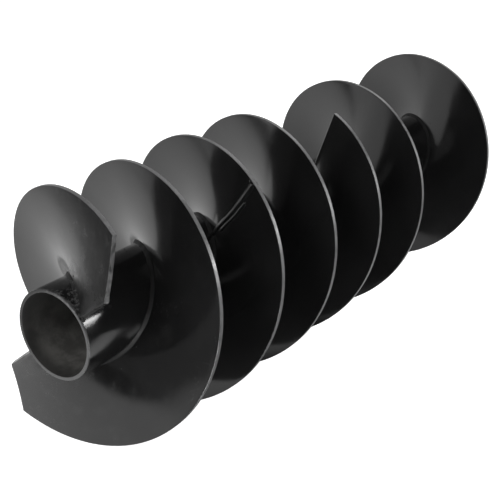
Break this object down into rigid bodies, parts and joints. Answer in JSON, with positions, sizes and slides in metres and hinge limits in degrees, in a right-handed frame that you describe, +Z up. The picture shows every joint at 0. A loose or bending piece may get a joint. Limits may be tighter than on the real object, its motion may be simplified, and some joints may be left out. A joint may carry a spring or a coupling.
{
  "type": "double-start mixing screw",
  "caption": "Left-hand helical mixing and feed screw: plate flights welded round an open tube, the second flight ending half way along.",
  "frame": {"origin": "centre of the open mouth of the core tube", "axes": "+X along the screw from the open mouth to the drive end, +Z up as it lies"},
  "size_m": [0.7, 0.222, 0.222],
  "materials": {
    "black_paint": "gloss black enamel over rolled steel",
    "weld_paint": "gloss black enamel over rippled weld metal",
    "hub_steel": "turned steel, oiled bore, painted face"
  },
  "bodies": {
    "root": {"core_tube": "black_paint", "long_flight_1": "black_paint", "long_flight_2": "black_paint", "long_flight_3": "black_paint", "long_flight_4": "black_paint", "short_flight_1": "black_paint", "short_flight_2": "black_paint", "long_root_weld_front_1": "weld_paint", "long_root_weld_back_1": "weld_paint", "long_seam_weld_1": "weld_paint", "long_root_weld_front_2": "weld_paint", "long_root_weld_back_2": "weld_paint", "long_seam_weld_2": "weld_paint", "long_root_weld_front_3": "weld_paint", "long_root_weld_back_3": "weld_paint", "long_seam_weld_3": "weld_paint", "long_root_weld_front_4": "weld_paint", "long_root_weld_back_4": "weld_paint", "short_root_weld_front_1": "weld_paint", "short_root_weld_back_1": "weld_paint", "short_seam_weld_1": "weld_paint", "short_root_weld_front_2": "weld_paint", "short_root_weld_back_2": "weld_paint", "drive_hub": "hub_steel", "hub_weld": "weld_paint"}
  },
  "joints": []
}
